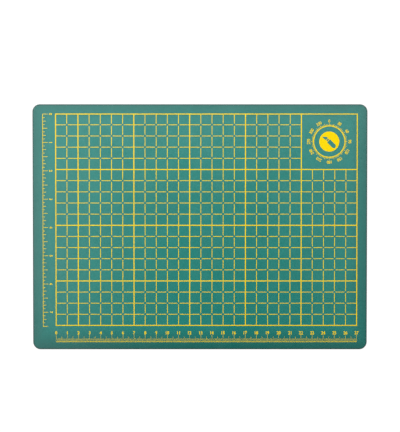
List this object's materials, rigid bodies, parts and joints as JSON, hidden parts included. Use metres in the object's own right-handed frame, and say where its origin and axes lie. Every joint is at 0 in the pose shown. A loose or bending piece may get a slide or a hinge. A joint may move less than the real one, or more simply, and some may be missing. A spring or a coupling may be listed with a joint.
{
  "type": "self healing cutting mat",
  "caption": "Thin rectangular laminated cutting mat with round corners, a printed centimetre grid and printed centimetre and inch scales.",
  "frame": {"origin": "middle of the underside", "axes": "+X along the long side, +Y along the short side towards the top of the print, +Z out of the printed face"},
  "size_m": [0.3, 0.22, 0.003],
  "materials": {
    "soft_pvc": "satin",
    "core_pvc": "matte",
    "ink": "satin"
  },
  "bodies": {
    "root": {"bottom_ply": "soft_pvc", "core_ply": "core_pvc", "top_ply": "soft_pvc", "printed_heavy_grid": "ink", "printed_centimetre_scale": "ink", "printed_inch_scale": "ink", "printed_angle_dial": "ink", "printed_knife_mark": "ink"}
  },
  "joints": []
}
